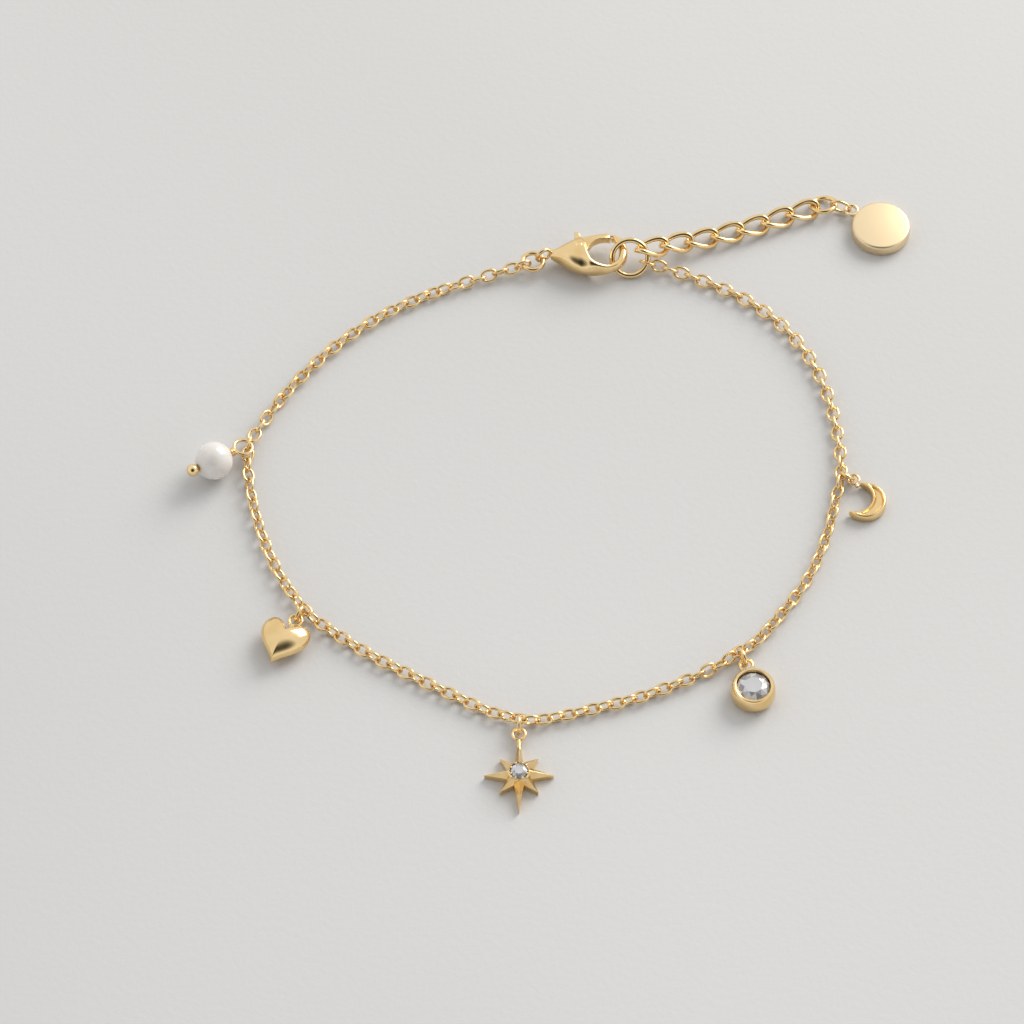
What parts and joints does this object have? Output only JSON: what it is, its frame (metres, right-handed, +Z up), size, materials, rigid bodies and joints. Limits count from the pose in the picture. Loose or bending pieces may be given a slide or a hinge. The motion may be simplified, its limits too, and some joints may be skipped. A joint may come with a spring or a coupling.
{
  "type": "charm bracelet",
  "caption": "Fine cable-chain bracelet with pearl, heart, star, round stone and crescent charms, a lobster clasp and a curb-link extender ending in a plain round tag.",
  "frame": {"origin": "middle of the bracelet's footprint, on the surface it lies on", "axes": "+Z up from the surface, +Y towards the clasp, +X towards the extender's tag"},
  "size_m": [0.0709, 0.0708, 0.0037],
  "materials": {
    "gold": "polished gold plate",
    "satin_gold": "satin gold plate",
    "pearl": "lustrous",
    "stone": "clear, cut and polished"
  },
  "bodies": {
    "bracelet": {"clasp_body": "gold", "clasp_rivet": "gold", "clasp_ring": "gold", "end_ring": "gold", "extender_link_1": "gold", "extender_link_2": "gold", "extender_link_3": "gold", "extender_link_4": "gold", "extender_link_5": "gold", "extender_link_6": "gold", "extender_link_7": "gold", "extender_ring": "gold", "extender_tag_link": "gold", "chain_clasp_pearl": "gold", "chain_pearl_heart": "gold", "chain_heart_star": "gold", "chain_star_drop": "gold", "chain_drop_moon": "gold", "chain_moon_ring": "gold", "link_clasp_side": "gold", "link_pearl": "gold", "link_pearl_lower": "gold", "link_heart": "gold", "link_star": "gold", "link_drop": "gold", "link_moon": "gold", "link_ring_side": "gold", "pearl_headpin": "gold", "heart_jump_ring": "gold", "star_jump_ring": "gold", "drop_jump_ring": "gold", "moon_jump_ring": "gold", "heart_charm": "gold", "star_charm": "gold", "drop_bezel": "gold", "moon_charm": "gold", "extender_tag": "satin_gold", "pearl_bead": "pearl", "star_stone": "stone", "drop_stone": "stone"},
    "clasp_lever": {"clasp_lever": "gold"}
  },
  "joints": [
    {"name": "lever_hinge", "type": "hinge", "parent": "bracelet", "child": "clasp_lever", "pos_m": [0.00255, 0.02788, 0.00143], "axis": [0.0454, -0.0008, -0.999], "range_deg": [0, 18], "stiffness_Nm_per_rad": 0.004, "springref_deg": -8.59}
  ]
}
